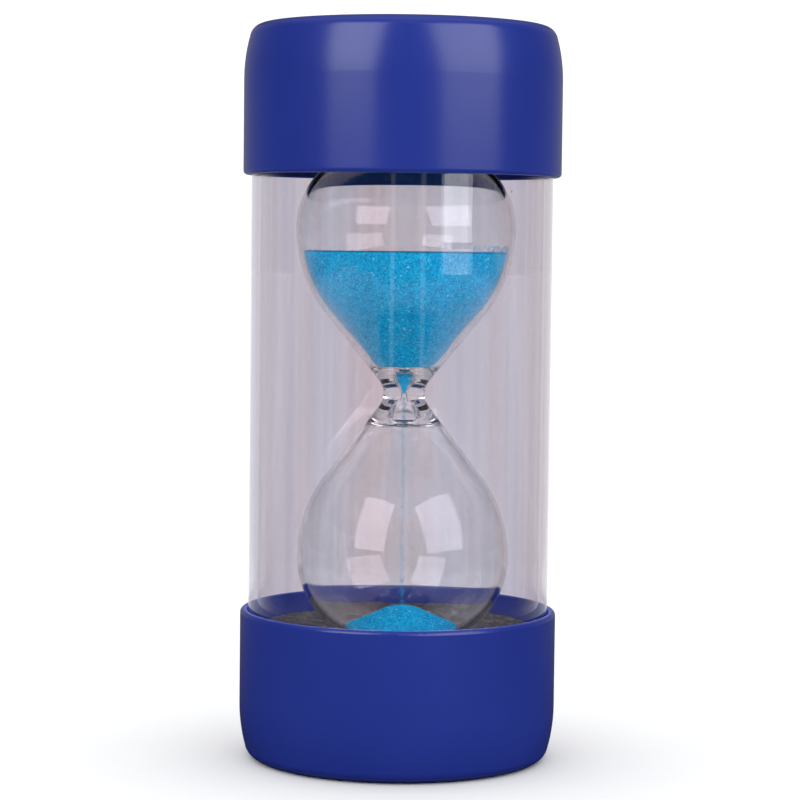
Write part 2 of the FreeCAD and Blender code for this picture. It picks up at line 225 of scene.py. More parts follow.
def add_piece(name, node, shape, material):
    """Piece of the timer that stands for a CAD node."""
    vertices, faces = shape
    piece = new_object(name, vertices, faces, material)
    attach(piece, "root")
    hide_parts(node)
    return piece


def arc_points(centre, radius, first_degrees, last_degrees, steps):
    """Points of an arc in (distance from axis, height), both ends included."""
    points = []
    for step in range(steps + 1):
        angle = math.radians(first_degrees + (last_degrees - first_degrees) * step / steps)
        points.append((centre[0] + radius * math.cos(angle),
                       centre[1] + radius * math.sin(angle)))
    return points


def smooth_curve(points, steps):
    """Catmull-Rom curve through a few (distance, height) points."""
    ends = [points[0]] + list(points) + [points[-1]]
    curve = []
    for a, b, c, d in zip(ends, ends[1:], ends[2:], ends[3:]):
        for step in range(steps):
            t = step / steps
            curve.append(tuple(
                0.5 * (2 * q + (r - p) * t + (2 * p - 5 * q + 4 * r - s) * t ** 2
                       + (3 * q - p - 3 * r + s) * t ** 3)
                for p, q, r, s in zip(a, b, c, d)))
    curve.append(points[-1])
    return curve


def offset(points, gap):
    """Outline moved sideways, to the left of its own direction."""
    moved = []
    for index, (distance, height) in enumerate(points):
        before = points[max(index - 1, 0)]
        after = points[min(index + 1, len(points) - 1)]
        along = Vector((after[0] - before[0], after[1] - before[1])).normalized()
        moved.append((max(distance - along.y * gap, 0.0), height + along.x * gap))
    return moved


def spread(points, longest):
    """The same outline with points added so that no run is longer than a limit."""
    result = [points[0]]
    for here, there in zip(points, points[1:]):
        parts = max(1, math.ceil(math.dist(here, there) / longest))
        for part in range(1, parts + 1):
            t = part / parts
            result.append(tuple(a + (b - a) * t for a, b in zip(here, there)))
    return result


def turned(outline, axis=0.0, steps=ROUND_STEPS, closed=False, shift=None):
    """Vertices and faces of an outline of (distance, height) points turned about an upright axis.

    An upward run of the outline faces outwards. A point on the axis becomes one vertex. shift
    takes a vertex's place, measured from that axis, and gives how far it moves.
    """
    vertices = []
    rings = []
    for distance, height in outline:
        count = 1 if distance < ON_AXIS else steps
        rings.append(range(len(vertices), len(vertices) + count))
        for step in range(count):
            angle = 2 * math.pi * step / steps
            place = Vector((distance * math.cos(angle), distance * math.sin(angle), height))
            if shift:
                place += shift(place)
            vertices.append((place.x + axis, place.y, place.z))
    pairs = list(zip(rings, rings[1:]))
    if closed:
        pairs.append((rings[-1], rings[0]))
    faces = []
    for lower, upper in pairs:
        for step in range(steps):
            after = (step + 1) % steps
            corners = [lower[step % len(lower)], lower[after % len(lower)],
                       upper[after % len(upper)], upper[step % len(upper)]]
            corners = list(dict.fromkeys(corners))
            if len(corners) > 2:
                faces.append(corners)
    return vertices, faces


def outwards(place):
    """Level direction from the axis to a place."""
    flat = Vector((place.x, place.y, 0))
    return flat.normalized() if flat.length > 0 else flat


# ---------------------------------------------------------------- material helpers

# Where a Mix node keeps the sockets that mix colours.
MIX_FACTOR, MIX_FIRST, MIX_SECOND, MIX_RESULT = 0, 6, 7, 2


class Nodes:
    """Short way to build the node tree of a material or of the world."""

    def __init__(self, name="", tree=None, output="ShaderNodeOutputMaterial"):
        if tree is None:
            self.material = bpy.data.materials.new(name)
            self.material.use_nodes = True
            tree = self.material.node_tree
        self.tree = tree
        self.tree.nodes.clear()
        self.output = self.add(output)

    def add(self, kind, **settings):
        """New node with some of its settings changed."""
        node = self.tree.nodes.new(kind)
        for name, value in settings.items():
            setattr(node, name, value)
        return node

    def link(self, source, target):
        """Connect two sockets."""
        self.tree.links.new(source, target)

    def shader(self, roughness, ior=1.5):
        """Principled shader, sent to the output."""
        shader = self.add("ShaderNodeBsdfPrincipled")
        shader.inputs["Roughness"].default_value = roughness
        shader.inputs["IOR"].default_value = ior
        self.link(shader.outputs["BSDF"], self.output.inputs["Surface"])
        return shader

    def place(self, scale=(1, 1, 1)):
        """The object's own coordinates, in metres, scaled along each axis."""
        coordinates = self.add("ShaderNodeTexCoord")
        mapping = self.add("ShaderNodeMapping")
        mapping.inputs["Scale"].default_value = scale
        self.link(coordinates.outputs["Object"], mapping.inputs["Vector"])
        return mapping.outputs["Vector"]

    def noise(self, vector, scale, detail=3.0):
        """Soft noise from 0 to 1."""
        node = self.add("ShaderNodeTexNoise")
        node.inputs["Scale"].default_value = scale
        node.inputs["Detail"].default_value = detail
        self.link(vector, node.inputs["Vector"])
        return node.outputs["Fac"]

    def cells(self, vector, scale):
        """Voronoi cells: distance from a cell's middle, and its three random numbers."""
        node = self.add("ShaderNodeTexVoronoi")
        node.inputs["Scale"].default_value = scale
        self.link(vector, node.inputs["Vector"])
        split = self.add("ShaderNodeSeparateColor")
        self.link(node.outputs["Color"], split.inputs["Color"])
        return node.outputs["Distance"], split.outputs

    def ramp(self, factor, stops):
        """Colour ramp from (place, colour) stops."""
        node = self.add("ShaderNodeValToRGB")
        band = node.color_ramp
        while len(band.elements) < len(stops):
            band.elements.new(0.5)
        for element, (place, colour) in zip(band.elements, stops):
            element.position = place
            element.color = (*colour, 1.0)
        self.link(factor, node.inputs["Fac"])
        return node.outputs["Color"]

    def level(self, factor, low, high, out_low=0.0, out_high=1.0):
        """Factor stretched from one range to another, clamped."""
        node = self.add("ShaderNodeMapRange")
        for name, value in (("From Min", low), ("From Max", high),
                            ("To Min", out_low), ("To Max", out_high)):
            node.inputs[name].default_value = value
        self.link(factor, node.inputs["Value"])
        return node.outputs["Result"]

    def maths(self, operation, first, second):
        """Arithmetic on a socket and a socket or number."""
        node = self.add("ShaderNodeMath", operation=operation)
        self.link(first, node.inputs[0])
        if isinstance(second, (int, float)):
            node.inputs[1].default_value = second
        else:
            self.link(second, node.inputs[1])
        return node.outputs["Value"]

    def blend(self, factor, first, second, mode="MIX"):
        """Mix of two colours; the second may be a plain colour, the factor a number."""
        node = self.add("ShaderNodeMix", data_type="RGBA", blend_type=mode)
        if isinstance(factor, (int, float)):
            node.inputs[MIX_FACTOR].default_value = factor
        else:
            self.link(factor, node.inputs[MIX_FACTOR])
        self.link(first, node.inputs[MIX_FIRST])
        if isinstance(second, tuple):
            node.inputs[MIX_SECOND].default_value = (*second, 1.0)
        else:
            self.link(second, node.inputs[MIX_SECOND])
        return node.outputs[MIX_RESULT]

    def beyond_radius(self, place, radius):
        """One where a place is further than a radius from the upright axis, nought nearer."""
        level = self.add("ShaderNodeVectorMath", operation="MULTIPLY")
        level.inputs[1].default_value = (1, 1, 0)
        self.link(place, level.inputs[0])
        from_axis = self.add("ShaderNodeVectorMath", operation="LENGTH")
        self.link(level.outputs["Vector"], from_axis.inputs[0])
        return self.maths("GREATER_THAN", from_axis.outputs["Value"], radius)

    def beyond_heights(self, place, low, high):
        """One below the low height and above the high one, nought between them."""
        split = self.add("ShaderNodeSeparateXYZ")
        self.link(place, split.inputs["Vector"])
        return self.maths("MAXIMUM", self.maths("LESS_THAN", split.outputs["Z"], low),
                          self.maths("GREATER_THAN", split.outputs["Z"], high))

    def bump(self, height, strength, distance):
        """Surface normal that follows a height."""
        node = self.add("ShaderNodeBump")
        node.inputs["Strength"].default_value = strength
        node.inputs["Distance"].default_value = distance
        self.link(height, node.inputs["Height"])
        return node.outputs["Normal"]

    def mirrored(self, path):
        """One for what is seen after any reflection, nought before."""
        return self.maths("MINIMUM", path.outputs["Glossy Depth"], 1.0)

    def sharp_ray(self, path):
        """One for what is seen in glass, nought for what is seen in a satin surface."""
        return self.maths("MAXIMUM", path.outputs["Is Singular Ray"],
                          path.outputs["Is Transmission Ray"])

    def front_glow(self, path):
        """Faint light from the front for what is seen through glass, none in plain mirroring."""
        return self.maths("MULTIPLY", path.outputs["Is Transmission Ray"], 0.5)

    def soft_light(self):
        """One for light on its way to a matt surface, nought for what is seen directly."""
        path = self.add("ShaderNodeLightPath")
        return self.maths("MAXIMUM", path.outputs["Is Shadow Ray"], path.outputs["Is Diffuse Ray"])

    def mixed(self, factor, first, second):
        """Two shaders mixed by a factor and sent to the output."""
        mix = self.add("ShaderNodeMixShader")
        self.link(factor, mix.inputs["Fac"])
        self.link(first, mix.inputs[1])
        self.link(second, mix.inputs[2])
        self.link(mix.outputs["Shader"], self.output.inputs["Surface"])


# ---------------------------------------------------------------- materials

def cap_material():
    """Royal-blue moulded plastic: satin gloss, faint flow marks, a few pale specks.

    It is painted paler where it lines the socket for the tube, as painted light on an inside that
    the lamps barely reach, and it is duller on the two end faces.
    """
    socket_reach = 34.4 * MM
    rounded_end = 14 * MM
    face_depth = 1.2 * MM
    nodes = Nodes("cap_plastic")
    shader = nodes.shader(roughness=0.24)
    shader.inputs["Specular IOR Level"].default_value = 0.34
    place = nodes.place()
    clouds = nodes.noise(place, 45.0, detail=4.0)
    colour = nodes.ramp(clouds, [(0.3, (0.0062, 0.0145, 0.130)), (0.7, (0.0072, 0.0165, 0.140))])
    # Painted light: the inside that lines the socket is coloured a paler blue to stand in for light
    # it does not get.
    painted_light_lining = nodes.ramp(clouds, [(0.3, (0.03, 0.056, 0.35)), (0.7, (0.034, 0.062, 0.37))])
    side = nodes.beyond_radius(place, socket_reach)
    ends = nodes.beyond_heights(place, rounded_end, TOTAL_HEIGHT - rounded_end)
    outside = nodes.maths("MAXIMUM", side, ends)
    distance, _ = nodes.cells(place, 260.0)
    rare = nodes.level(nodes.noise(place, 90.0), 0.66, 0.7)
    speck = nodes.maths("MULTIPLY", nodes.level(distance, 0.05, 0.09, 1.0, 0.0), rare)
    colour = nodes.blend(speck, colour, (0.05, 0.08, 0.28))
    nodes.link(nodes.blend(outside, painted_light_lining, colour), shader.inputs["Base Color"])
    flow = nodes.noise(nodes.place((1, 1, 0.25)), 60.0, detail=2.0)
    satin = nodes.level(flow, 0.3, 0.7, 0.22, 0.26)
    end_face = nodes.beyond_heights(place, face_depth, TOTAL_HEIGHT - face_depth)
    dull = nodes.maths("MULTIPLY", end_face, 0.6)
    nodes.link(nodes.maths("MAXIMUM", satin, dull), shader.inputs["Roughness"])
    nodes.link(nodes.bump(flow, 0.15, 0.1 * MM), shader.inputs["Normal"])
    return nodes.material


def tube_material():
    """Clear polished plastic: a violet-grey cast that is partly painted shade, drawn streaks, a few
    dark flecks.

    Its outer face is darker where it turns away, as the wall is thicker seen at a slant.
    """
    nodes = Nodes("clear_plastic")
    clear = nodes.add("ShaderNodeBsdfTransparent")
    gloss = nodes.add("ShaderNodeBsdfGlossy")
    gloss.inputs["Roughness"].default_value = 0.0
    gloss.inputs["Color"].default_value = (1, 1, 1, 1)
    facing = nodes.add("ShaderNodeLayerWeight")
    grazing = nodes.maths("POWER", facing.outputs["Facing"], 5.0)
    mirror = nodes.level(grazing, 0.0, 1.0, out_low=0.04)
    place = nodes.place()
    upright = nodes.place((1, 1, 0.012))
    streaks = nodes.noise(upright, 420.0)
    bands = nodes.noise(upright, 75.0, detail=1.0)
    tint = nodes.ramp(bands, [
        (0.35, (0.882, 0.842, 0.858)), (0.5, (0.880, 0.862, 0.886)), (0.65, (0.850, 0.858, 0.908))])
    shade = nodes.ramp(streaks, [(0.3, (0.945, 0.94, 0.95)), (0.7, (1.0, 1.0, 1.0))])
    colour = nodes.blend(1.0, tint, shade, "MULTIPLY")
    outer_face = nodes.beyond_radius(place, node_radius("clear_tube") - TUBE_WALL / 2)
    edge = nodes.maths("MULTIPLY", nodes.level(facing.outputs["Facing"], 0.6, 0.7), outer_face)
    colour = nodes.blend(edge, colour, nodes.blend(1.0, colour, colour, "MULTIPLY"))
    distance, random_numbers = nodes.cells(place, 170.0)
    fleck = nodes.maths("MULTIPLY", nodes.level(distance, 0.03, 0.05, 1.0, 0.0),
                        nodes.level(random_numbers["Red"], 0.9, 0.91))
    colour = nodes.blend(fleck, colour, (0.35, 0.35, 0.37))
    # Light on its way to a matt surface passes with only a faint grey tint; what is seen through
    # the tube gets the deeper violet-grey tint, and that extra darkening is painted shade.
    nodes.link(nodes.blend(nodes.soft_light(), colour, (0.96, 0.96, 0.96)), clear.inputs["Color"])
    nodes.link(nodes.bump(streaks, 0.05, 0.05 * MM), gloss.inputs["Normal"])
    nodes.mixed(mirror, clear.outputs["BSDF"], gloss.outputs["BSDF"])
    return nodes.material


def glass_material():
    """Blown glass with slow waves; light passes straight through it to the sand."""
    nodes = Nodes("vial_glass")
    glass = nodes.add("ShaderNodeBsdfGlass")
    glass.inputs["IOR"].default_value = 1.5
    glass.inputs["Roughness"].default_value = 0.0
    waves = nodes.noise(nodes.place(), 110.0, detail=1.5)
    tint = nodes.ramp(waves, [(0.3, (0.992, 1.0, 0.998)), (0.7, (0.998, 1.0, 1.0))])
    nodes.link(tint, glass.inputs["Color"])
    nodes.link(nodes.bump(waves, 0.04, 0.1 * MM), glass.inputs["Normal"])
    clear = nodes.add("ShaderNodeBsdfTransparent")
    clear.inputs["Color"].default_value = (0.97, 0.98, 0.98, 1)
    nodes.mixed(nodes.soft_light(), glass.outputs["BSDF"], clear.outputs["BSDF"])
    return nodes.material


def sand_material():
    """Dyed sand: every grain has its own shade, and a few are painted paler as painted glints.

    Below the waist the sand takes a second, slightly weaker colour: painted light, the same sand
    coloured to match how the heap is lit.
    """
    nodes = Nodes("sand")
    shader = nodes.shader(roughness=0.6)
    shader.inputs["Specular IOR Level"].default_value = 0.12
    place = nodes.place()
    distance, random_numbers = nodes.cells(place, 3600.0)
    colour = nodes.ramp(random_numbers["Red"], [
        (0.0, (0.0005, 0.21, 0.41)), (0.5, (0.001, 0.35, 0.66)), (1.0, (0.002, 0.49, 0.85))])
    # Painted light: a second copy of the sand colour for the heap below the waist, set to how the
    # heap is lit, not a different sand.
    painted_light_heap_colour = nodes.ramp(random_numbers["Red"], [
        (0.0, (0.0005, 0.22, 0.42)), (0.5, (0.001, 0.34, 0.61)), (1.0, (0.002, 0.46, 0.78))])
    above_waist = nodes.beyond_heights(place, 0.0, WAIST_HEIGHT)
    colour = nodes.blend(above_waist, painted_light_heap_colour, colour)
    # Painted glint: a rare grain is coloured pale and whitish, as if it caught the light.
    bright = nodes.level(random_numbers["Green"], 0.985, 0.995)
    nodes.link(nodes.blend(bright, colour, (0.22, 0.62, 0.83)), shader.inputs["Base Color"])
    nodes.link(nodes.level(random_numbers["Blue"], 0.9, 1.0, 0.65, 0.4),
               shader.inputs["Roughness"])
    nodes.link(nodes.bump(distance, 0.4, 0.12 * MM), shader.inputs["Normal"])
    return nodes.material


def foam_material():
    """Dark recycled foam pressed from crumbs of slightly different greys and browns, with painted
    shade in its pores.
    """
    nodes = Nodes("foam")
    shader = nodes.shader(roughness=0.92, ior=1.4)
    place = nodes.place()
    distance, random_numbers = nodes.cells(place, 1100.0)
    colour = nodes.ramp(random_numbers["Red"], [
        (0.0, (0.02, 0.018, 0.022)), (0.45, (0.045, 0.041, 0.047)), (0.8, (0.075, 0.068, 0.071)),
        (1.0, (0.14, 0.12, 0.11))])
    pore_relief_and_shade = nodes.noise(place, 2600.0, detail=2.0)
    # Painted shade: the colour darkens to 0.55 where the pore relief is low.
    shade = nodes.ramp(pore_relief_and_shade, [(0.35, (0.55, 0.55, 0.55)), (0.6, (1.0, 1.0, 1.0))])
    nodes.link(nodes.blend(1.0, colour, shade, "MULTIPLY"), shader.inputs["Base Color"])
    relief = nodes.maths("ADD", pore_relief_and_shade, nodes.maths("MULTIPLY", distance, 0.6))
    nodes.link(nodes.bump(relief, 0.8, 0.25 * MM), shader.inputs["Normal"])
    return nodes.material


def plug_material():
    """Off-white soft stopper with a dusty surface."""
    nodes = Nodes("plug_rubber")
    shader = nodes.shader(roughness=0.7)
    dust = nodes.noise(nodes.place(), 700.0, detail=4.0)
    nodes.link(nodes.ramp(dust, [(0.3, (0.62, 0.6, 0.55)), (0.7, (0.74, 0.72, 0.68))]),
               shader.inputs["Base Color"])
    nodes.link(nodes.bump(dust, 0.4, 0.1 * MM), shader.inputs["Normal"])
    return nodes.material


def glue_material():
    """Cured adhesive: yellowish white, cloudy and slightly wet-looking."""
    nodes = Nodes("glue")
    shader = nodes.shader(roughness=0.35)
    cloud = nodes.noise(nodes.place(), 300.0)
    nodes.link(nodes.ramp(cloud, [(0.3, (0.7, 0.68, 0.6)), (0.7, (0.82, 0.81, 0.76))]),
               shader.inputs["Base Color"])
    nodes.link(nodes.bump(cloud, 0.5, 0.2 * MM), shader.inputs["Normal"])
    return nodes.material


def floor_material():
    """Plain white floor. Reflections see it dark, but white on a table top and far behind.

    Each pair is the range over which the reflected floor changes, in metres or, for the slant,
    in metres sideways for each metre back.
    """
    table_front = (-0.14, -0.1)
    table_side = (0.2, 0.3)
    far_floor_start = (0.12, 0.25)
    far_floor_slant = (0.3, 1.2)
    satin_reach = (0.0, 0.6)
    nodes = Nodes("floor")
    plain = nodes.add("ShaderNodeBsdfDiffuse")
    place = nodes.place()
    tone = nodes.noise(place, 3.0)
    white = nodes.ramp(tone, [(0.3, (0.992, 0.992, 0.992)), (0.7, (0.996, 0.996, 0.996))])
    nodes.link(white, plain.inputs["Color"])
    path = nodes.add("ShaderNodeLightPath")
    sharp = nodes.sharp_ray(path)
    polished = nodes.shader(roughness=0.08)
    split = nodes.add("ShaderNodeSeparateXYZ")
    nodes.link(place, split.inputs["Vector"])
    backwards = split.outputs["Y"]
    sideways = nodes.maths("ABSOLUTE", split.outputs["X"], 0.0)
    polish = nodes.level(backwards, *far_floor_start, out_low=0.4, out_high=0.0)
    nodes.link(nodes.maths("MULTIPLY", sharp, polish), polished.inputs["Specular IOR Level"])
    behind_front = nodes.level(backwards, *table_front)
    between_sides = nodes.level(sideways, *table_side, out_low=1.0, out_high=0.0)
    table = nodes.maths("MULTIPLY", behind_front, between_sides)
    slant = nodes.maths("DIVIDE", sideways, backwards)
    straight_back = nodes.level(slant, *far_floor_slant, out_low=1.0, out_high=0.45)
    far_floor = nodes.maths("MULTIPLY", nodes.level(backwards, *far_floor_start), straight_back)
    bright = nodes.maths("MAXIMUM", table, far_floor)
    bright = nodes.maths("MAXIMUM", bright, nodes.front_glow(path))
    bright = nodes.maths("MULTIPLY", bright, sharp)
    satin_glow = nodes.level(backwards, *satin_reach, out_high=0.3)
    shade = nodes.ramp(nodes.maths("MAXIMUM", bright, satin_glow),
                       [(0.0, (0.03, 0.03, 0.03)), (1.0, (0.88, 0.88, 0.88))])
    nodes.link(shade, polished.inputs["Base Color"])
    nodes.mixed(nodes.mirrored(path), plain.outputs["BSDF"], polished.outputs["BSDF"])
    return nodes.material


# ---------------------------------------------------------------- vial

BULB_RADIUS = {1: 24.3 * MM, -1: 23.5 * MM}
HALF_HEIGHT = 56.7 * MM
EQUATOR = 36.5 * MM
CROWN_RADIUS = 27.8 * MM
FLARE_RADIUS = 30.0 * MM
WAIST_RADIUS = 4.6 * MM
WAIST_FILLET = 4.7 * MM
GLASS_WALL = 1.1 * MM
FILL_HOLE_RADIUS = 4.0 * MM
VIAL_STEPS = 180
VIAL_RUN = 1.2 * MM

# Bore of the neck, from the upper bulb to the lower one, as distances from the axis and heights
# above the waist.
NECK_BORE_MM = [
    (8.6, 8.7), (7.4, 7.3), (6.6, 6.5), (5.8, 6.2), (4.2, 6.15), (2.7, 6.1), (2.05, 5.9),
    (1.8, 5.3), (1.55, 4.2), (1.2, 2.9), (0.75, 1.6), (0.45, 0.7), (0.45, -0.6), (0.65, -1.4),
    (1.2, -2.4), (1.85, -3.7), (2.35, -5.1), (2.7, -6.4), (3.1, -6.8), (4.4, -6.9),
    (5.8, -6.95), (6.8, -7.2), (7.6, -7.9), (8.4, -8.8)]


def cone_lean(side):
    """Lean from upright, in degrees, of the cone that touches both flare and waist fillet."""
    across = WAIST_RADIUS + WAIST_FILLET - (BULB_RADIUS[side] - FLARE_RADIUS)
    reach = math.hypot(across, EQUATOR)
    span = math.acos((FLARE_RADIUS + WAIST_FILLET) / reach)
    return math.degrees(math.atan2(EQUATOR, across) - span)


def bulb_outline(side, inset, hole_radius):
    """Crown, haunch and flare of one bulb, from its far end towards the waist."""
    radius = BULB_RADIUS[side] - inset
    crown = CROWN_RADIUS - inset
    crown_height = HALF_HEIGHT - CROWN_RADIUS
    rise = EQUATOR - crown_height
    haunch = (crown ** 2 - radius ** 2 - rise ** 2) / (2 * (crown - radius))
    handover = math.degrees(math.atan2(rise, radius - haunch))
    first = math.degrees(math.acos(hole_radius / crown))
    points = arc_points((0, crown_height), crown, first, handover, steps=30)
    points += arc_points((radius - haunch, EQUATOR), haunch, handover, 0, steps=20)[1:]
    flare_centre = (BULB_RADIUS[side] - FLARE_RADIUS, EQUATOR)
    points += arc_points(flare_centre, FLARE_RADIUS - inset, 0, -cone_lean(side), steps=30)[1:]
    return [(distance, WAIST_HEIGHT + side * height) for distance, height in points]


def waist_outline(side):
    """Hollow of the waist on one side, from the cone to the narrowest place."""
    centre = (WAIST_RADIUS + WAIST_FILLET, 0)
    points = arc_points(centre, WAIST_FILLET, 180 - cone_lean(side), 180, steps=12)
    return [(distance, WAIST_HEIGHT + side * height) for distance, height in points]


def vial_outside():
    """Outer outline of the vial, from its bottom to the edge of the fill hole."""
    lower = bulb_outline(-1, 0.0, 0.0) + waist_outline(-1)
    upper = bulb_outline(1, 0.0, FILL_HOLE_RADIUS) + waist_outline(1)
    return lower + upper[-2::-1]


def neck_bore():
    """Inside of the neck: a shelf and a funnel above the orifice, a bell below it."""
    return smooth_curve([(x * MM, WAIST_HEIGHT + y * MM) for x, y in NECK_BORE_MM], steps=5)


def vial_inside():
    """Inner outline of the vial, from the edge of the fill hole to its bottom."""
    upper = bulb_outline(1, GLASS_WALL, FILL_HOLE_RADIUS)
    lower = bulb_outline(-1, GLASS_WALL, 0.0)
    return upper + neck_bore() + lower[::-1]


def blown(place):
    """Slight unevenness of hand-blown glass, strongest just below and above the neck.

    The scales of its noises are waves to the metre. It fades towards the axis, so that the bore
    stays nearly round.
    """
    slow_depth, ripple_depth = 0.05, 0.1
    slow = noise.noise(place * 70.0)
    ripple = noise.noise(Vector((place.x * 260.0, place.y * 260.0, place.z * 330.0)))
    from_waist = abs(place.z - WAIST_HEIGHT) / MM
    near_neck = math.exp(-((from_waist - 10.0) / 5.0) ** 2)
    fade = min(1.0, math.hypot(place.x, place.y) / (3.0 * MM))
    return outwards(place) * (fade * MM * (slow_depth * slow + ripple_depth * near_neck * ripple))


def add_vial():
    """Vial as one closed skin: up the outside, then down the inside through the bore."""
    outline = spread(vial_outside(), VIAL_RUN) + spread(vial_inside(), VIAL_RUN)
    shape = turned(outline, VIAL_AXIS, steps=VIAL_STEPS, shift=blown)
    add_piece("blown_glass_vial", "glass_vial", shape, glass_material())


# ---------------------------------------------------------------- sand

GRAIN_RADIUS = 0.15 * MM
SURFACE_GRAINS = 3500
RIM_GRAINS = 900
STUCK_GRAINS = 240
FALLING_GRAINS = 1100
SAND_GAP = 0.08 * MM
SAND_SIDE_RUN = 0.8 * MM
CRATER_RUN = 0.35 * MM
HEAP_RUN = 0.3 * MM

# A grain starts as an icosahedron.
GOLDEN = (1 + math.sqrt(5)) / 2
GRAIN_CORNERS = [Vector(corner).normalized() for corner in (
    (-1, GOLDEN, 0), (1, GOLDEN, 0), (-1, -GOLDEN, 0), (1, -GOLDEN, 0),
    (0, -1, GOLDEN), (0, 1, GOLDEN), (0, -1, -GOLDEN), (0, 1, -GOLDEN),
    (GOLDEN, 0, -1), (GOLDEN, 0, 1), (-GOLDEN, 0, -1), (-GOLDEN, 0, 1))]
GRAIN_FACES = [
    (0, 11, 5), (0, 5, 1), (0, 1, 7), (0, 7, 10), (0, 10, 11), (1, 5, 9), (5, 11, 4),
    (11, 10, 2), (10, 7, 6), (7, 1, 8), (3, 9, 4), (3, 4, 2), (3, 2, 6), (3, 6, 8), (3, 8, 9),
    (4, 9, 5), (2, 4, 11), (6, 2, 10), (8, 6, 7), (9, 8, 1)]


def add_grain(shape, place, chance, size=GRAIN_RADIUS):
    """One angular grain added to a shape, turned and stretched at random."""
    vertices, faces = shape
    start = len(vertices)
    turn = Matrix.Rotation(chance.uniform(0, math.tau), 3, Vector(
        (chance.uniform(-1, 1), chance.uniform(-1, 1), chance.uniform(-1, 1) + 1e-3)))
    stretch = Vector([size * chance.uniform(0.7, 1.25) for _ in range(3)])
    for corner in GRAIN_CORNERS:
        vertices.append(tuple(place + turn @ (corner * stretch)))
    faces.extend([start + a, start + b, start + c] for a, b, c in GRAIN_FACES)


def height_on(outline, distance):
    """Height of an outline at a distance from the axis."""
    for (near, low), (far, high) in zip(outline, outline[1:]):
        if min(near, far) <= distance <= max(near, far) and near != far:
            return low + (high - low) * (distance - near) / (far - near)
    return outline[-1][1]


def in_vial(distance, angle, height):
    """Place at a distance, angle and height round the vial's axis."""
    return Vector((VIAL_AXIS + distance * math.cos(angle), distance * math.sin(angle), height))


def scatter_grains(shape, surface, outer_radius, chance):
    """Loose grains half sunk in a surface of sand."""
    for _ in range(SURFACE_GRAINS):
        distance = outer_radius * math.sqrt(chance.random())
        angle = chance.uniform(0, math.tau)
        add_grain(shape, in_vial(distance, angle, height_on(surface, distance)), chance)


def line_rim(shape, rim, chance):
    """Grains pressed against the glass along the edge of the upper sand."""
    size = 0.8 * GRAIN_RADIUS
    sunk = 0.15 * MM
    for _ in range(RIM_GRAINS):
        angle = chance.uniform(0, math.tau)
        height = SAND_LEVEL - sunk + chance.uniform(0, 0.2) * MM
        add_grain(shape, in_vial(rim - size, angle, height), chance, size)


def grainy(level):
    """Shift that roughens the sand above a level; it only sinks, so it stays in its glass."""
    half_depth = 0.07 * MM
    waves_a_metre = 900.0

    def shift(place):
        if place.z < level:
            return Vector((0, 0, 0))
        return Vector((0, 0, half_depth * (noise.noise(place * waves_a_metre) - 1.0)))
    return shift


def inner_wall(side):
    """Where sand rests against the inside of one bulb, from the far end to the neck."""
    return bulb_outline(side, GLASS_WALL + SAND_GAP, 0.0)


def upper_sand_shape(chance):
    """Sand in the upper bulb and the funnel below it, with a shallow crater in its top."""
    crater_radius = 13.0 * MM
    crater_depth = 6.0 * MM
    bore = [point for point in neck_bore() if point[1] > WAIST_HEIGHT]
    wall = [point for point in inner_wall(1) if point[1] < SAND_LEVEL]
    side = (wall + offset(bore, -SAND_GAP))[::-1]
    rim = side[-1][0]
    top = [(rim, SAND_LEVEL), (crater_radius, SAND_LEVEL)]
    top += [(crater_radius * (1 - t), SAND_LEVEL - crater_depth * t) for t in (0.35, 0.7, 0.9)]
    top.append((0.0, SAND_LEVEL - crater_depth))
    outline = [(0.0, side[0][1])] + spread(side, SAND_SIDE_RUN) + spread(top, CRATER_RUN)
    shape = turned(outline, VIAL_AXIS, shift=grainy(SAND_LEVEL - crater_depth))
    scatter_grains(shape, top, rim - GRAIN_RADIUS, chance)
    line_rim(shape, rim, chance)
    return shape


def add_stuck_grains(shape, chance):
    """Small grains clinging to the glass just above the sand, in front at the right."""
    highest = 1.7 * MM
    wall = [(height, distance) for distance, height in inner_wall(1)]
    for _ in range(STUCK_GRAINS):
        height = SAND_LEVEL + highest * chance.random() ** 1.5
        distance = height_on(wall, height) - GRAIN_RADIUS
        angle = math.radians(chance.uniform(-52, -12))
        add_grain(shape, in_vial(distance, angle, height), chance, 0.6 * GRAIN_RADIUS)


def lower_sand_shape(chance):
    """Heap of sand under the stream, with a round top and straight flanks."""
    crown_radius = 10.6 * MM
    crown_width = 4.6 * MM
    foot_radius = 12.5 * MM
    lean = math.asin(crown_width / crown_radius)
    crown_centre = (0, PILE_APEX - crown_radius)
    crown = arc_points(crown_centre, crown_radius, 90 - math.degrees(lean), 90, steps=12)
    foot_height = crown[0][1] - (foot_radius - crown_width) * math.tan(lean)
    surface = [(foot_radius, foot_height)] + crown
    floor = [point for point in inner_wall(-1) if point[0] < foot_radius]
    outline = spread(floor, SAND_SIDE_RUN) + spread(surface, HEAP_RUN)
    shape = turned(outline, VIAL_AXIS, shift=grainy(foot_height))
    scatter_grains(shape, surface, foot_radius, chance)
    return shape


def stream_shape(chance):
    """Loose column of small falling grains, a little wider at its foot."""
    shape = ([], [])
    top = node_top("sand_stream") - GRAIN_RADIUS
    foot = PILE_APEX + GRAIN_RADIUS
    for _ in range(FALLING_GRAINS):
        fall = chance.random()
        width = (0.15 + 0.2 * fall ** 0.5) * MM
        limit = 2 * width
        across, deep = (max(-limit, min(limit, chance.gauss(0, width))) for _ in range(2))
        place = Vector((VIAL_AXIS + across, deep, top - (top - foot) * fall))
        add_grain(shape, place, chance, 0.4 * GRAIN_RADIUS)
    return shape


